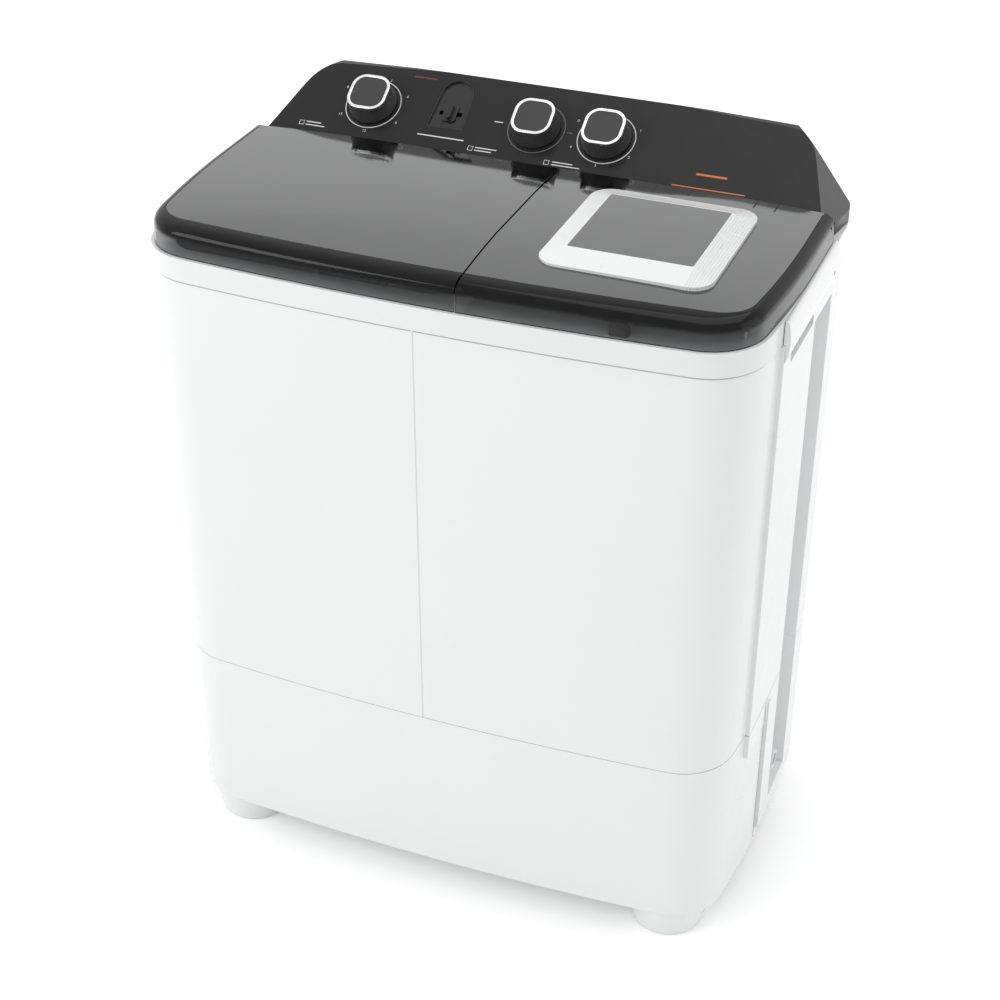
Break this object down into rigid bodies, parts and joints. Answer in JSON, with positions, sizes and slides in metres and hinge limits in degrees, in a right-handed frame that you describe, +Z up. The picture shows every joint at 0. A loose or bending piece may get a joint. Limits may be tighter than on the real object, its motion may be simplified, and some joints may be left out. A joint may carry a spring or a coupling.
{
  "type": "twin tub washer",
  "caption": "Twin tub washer: wash tub with pulsator, spin basket, hinged lids, sloping console with dials, drain valve and lid brake.",
  "frame": {"origin": "middle of the bounding box, on the floor under the feet", "axes": "+Z up, +Y to the rear where the console is, -Y the bowed front, +X to the right as seen from the front (spin side)"},
  "size_m": [0.77, 0.455, 0.9505],
  "materials": {
    "cabinet_white": "white moulded plastic, glossy",
    "trim_white": "white moulded plastic, high gloss",
    "console_black": "black moulded plastic, satin gloss",
    "fascia_black": "black printed film, glossy",
    "lid_smoke": "smoke grey see-through plastic, glossy",
    "lid_grey": "mid grey plastic, mirror gloss",
    "knob_grey": "dark grey plastic, satin",
    "ring_bright": "bright plated ring",
    "tub_plastic": "pale blue grey polypropylene",
    "well_plastic": "off white polypropylene",
    "basket_plastic": "light grey polypropylene",
    "balance_blue": "blue filled ring, glossy",
    "filter_blue": "blue plastic, glossy",
    "steel": "bright steel",
    "motor_paint": "dark painted metal",
    "zinc_metal": "cast and pressed light metal",
    "rubber_black": "black rubber, matte",
    "hose_grey": "grey flexible hose",
    "switch_cream": "cream plastic",
    "small_white": "white plastic fittings"
  },
  "bodies": {
    "cabinet": {"base_pan": "cabinet_white", "left_body_panel": "cabinet_white", "right_body_panel": "cabinet_white", "rear_cover": "cabinet_white", "top_frame": "trim_white", "side_grips": "trim_white", "front_feet": "cabinet_white", "rear_feet": "cabinet_white", "console_housing": "console_black", "console_fascia": "fascia_black", "selector_bezel": "fascia_black", "wash_timer": "switch_cream", "drain_switch": "switch_cream", "spin_timer": "switch_cream", "water_channel": "small_white", "water_inlet": "small_white", "wash_tub": "tub_plastic", "lint_filter": "filter_blue", "overflow_pipe": "tub_plastic", "shaft_seal": "rubber_black", "bearing_housing": "zinc_metal", "wash_motor": "motor_paint", "motor_bracket": "zinc_metal", "drive_belt": "rubber_black", "spin_well": "well_plastic", "well_bellows": "rubber_black", "spin_motor": "motor_paint", "motor_plate": "zinc_metal", "suspension_springs": "steel", "drain_valve": "small_white", "drain_hoses": "hose_grey", "drain_outlet": "small_white", "motor_capacitors": "zinc_metal", "lid_switch": "rubber_black", "hinge_pins": "steel", "cover_screws": "steel", "cord_bush": "rubber_black"},
    "wash_lid": {"wash_lid_shell": "lid_smoke", "wash_lid_top": "lid_grey"},
    "spin_lid": {"spin_lid_shell": "lid_smoke", "spin_lid_top": "lid_grey", "spin_lid_trim": "trim_white", "spin_lid_cap": "lid_grey"},
    "wash_dial": {"wash_knob": "knob_grey", "wash_knob_ring": "ring_bright"},
    "drain_dial": {"drain_knob": "knob_grey", "drain_knob_ring": "ring_bright"},
    "spin_dial": {"spin_knob": "knob_grey", "spin_knob_ring": "ring_bright"},
    "selector": {"water_selector": "knob_grey"},
    "pulsator_drive": {"pulsator": "basket_plastic", "pulsator_shaft": "steel", "drive_pulley": "zinc_metal"},
    "wash_rotor": {"rotor_pulley": "zinc_metal"},
    "spin_drum": {"spin_basket": "basket_plastic", "balance_ring": "balance_blue", "spin_shaft": "steel"},
    "brake_arm": {"brake_lever": "steel"},
    "brake_link": {"brake_rod": "steel"},
    "drain_stopper": {"drain_plunger": "filter_blue"}
  },
  "joints": [
    {"name": "wash_lid_hinge", "type": "hinge", "parent": "cabinet", "child": "wash_lid", "pos_m": [-0.15, 0.0918, 0.876], "axis": [-1, 0, 0], "range_deg": [0, 90]},
    {"name": "spin_lid_hinge", "type": "hinge", "parent": "cabinet", "child": "spin_lid", "pos_m": [0.2, 0.0918, 0.876], "axis": [-1, 0, 0], "range_deg": [0, 90]},
    {"name": "wash_timer_turn", "type": "hinge", "parent": "cabinet", "child": "wash_dial", "pos_m": [-0.232, 0.15963, 0.91523], "axis": [0, -0.5388, 0.8425], "range_deg": [-300, 0]},
    {"name": "drain_turn", "type": "hinge", "parent": "cabinet", "child": "drain_dial", "pos_m": [-0.0125, 0.15963, 0.91523], "axis": [0, -0.5388, 0.8425], "range_deg": [-90, 0]},
    {"name": "spin_timer_turn", "type": "hinge", "parent": "cabinet", "child": "spin_dial", "pos_m": [0.078, 0.15963, 0.91523], "axis": [0, -0.5388, 0.8425], "range_deg": [-300, 0]},
    {"name": "water_selector_slide", "type": "slide", "parent": "cabinet", "child": "selector", "axis": [1, 0, 0], "range_m": [-0.012, 0.012]},
    {"name": "pulsator_spin", "type": "hinge", "parent": "cabinet", "child": "pulsator_drive", "pos_m": [-0.1585, -0.061, 0.344], "axis": [0, 0, 1], "continuous": true},
    {"name": "rotor_spin", "type": "hinge", "parent": "cabinet", "child": "wash_rotor", "pos_m": [-0.0365, 0.077, 0.231], "axis": [0, 0, 1], "continuous": true},
    {"name": "spin_drum_spin", "type": "hinge", "parent": "cabinet", "child": "spin_drum", "pos_m": [0.2075, -0.061, 0.384], "axis": [0, 0, 1], "continuous": true},
    {"name": "brake_arm_swing", "type": "hinge", "parent": "cabinet", "child": "brake_arm", "pos_m": [0.2915, -0.161, 0.221], "axis": [0, -1, 0], "range_deg": [0, 4.8]},
    {"name": "brake_link_lift", "type": "slide", "parent": "cabinet", "child": "brake_link", "axis": [0, 0, 1], "range_m": [0, 0.0051]},
    {"name": "drain_stopper_lift", "type": "slide", "parent": "cabinet", "child": "drain_stopper", "axis": [0, 0, 1], "range_m": [0, 0.0141]}
  ],
  "couplings": [
    {"joint": "rotor_spin", "follows": "pulsator_spin", "ratio": 3.04},
    {"joint": "drain_stopper_lift", "follows": "drain_turn", "m_per_rad": -0.0089127},
    {"joint": "brake_link_lift", "follows": "spin_lid_hinge", "m_per_rad": 0.0031831},
    {"joint": "brake_arm_swing", "follows": "spin_lid_hinge", "ratio": 0.0531}
  ]
}
